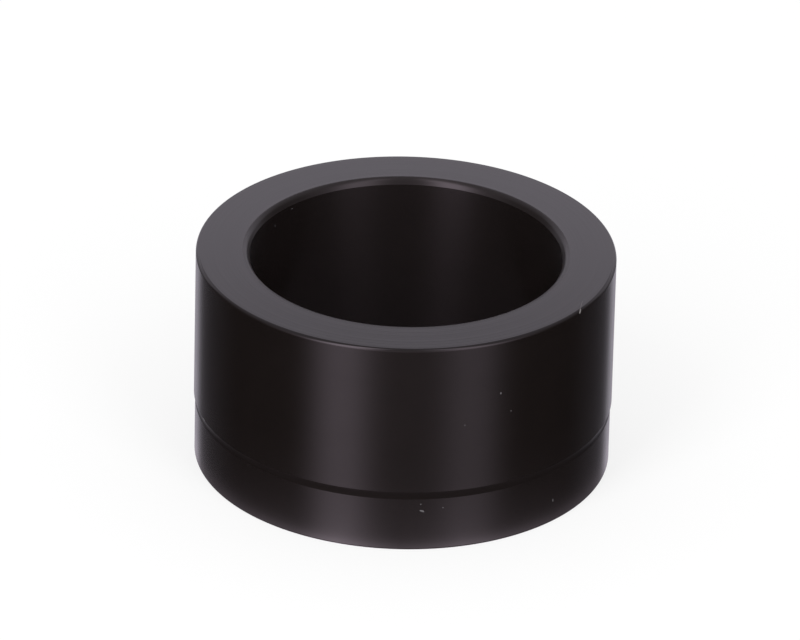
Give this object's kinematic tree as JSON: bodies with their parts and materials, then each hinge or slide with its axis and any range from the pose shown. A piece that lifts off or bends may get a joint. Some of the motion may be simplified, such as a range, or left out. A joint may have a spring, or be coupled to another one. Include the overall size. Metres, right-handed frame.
{
  "type": "sleeve bushing",
  "caption": "Plain sleeve bushing with a through bore, rounded lead-ins and a short, slightly smaller pilot end for pressing into a housing.",
  "frame": {"origin": "centre of the flat ring at the pilot end, on the bore's axis, where the bushing stands", "axes": "+Z along the bore's axis, from the pilot end to the land end; X and Y are equal by symmetry"},
  "size_m": [0.0256, 0.0256, 0.0137],
  "materials": {
    "black_plastic": "fine turned satin, black"
  },
  "bodies": {
    "root": {"bushing": "black_plastic"}
  },
  "joints": []
}
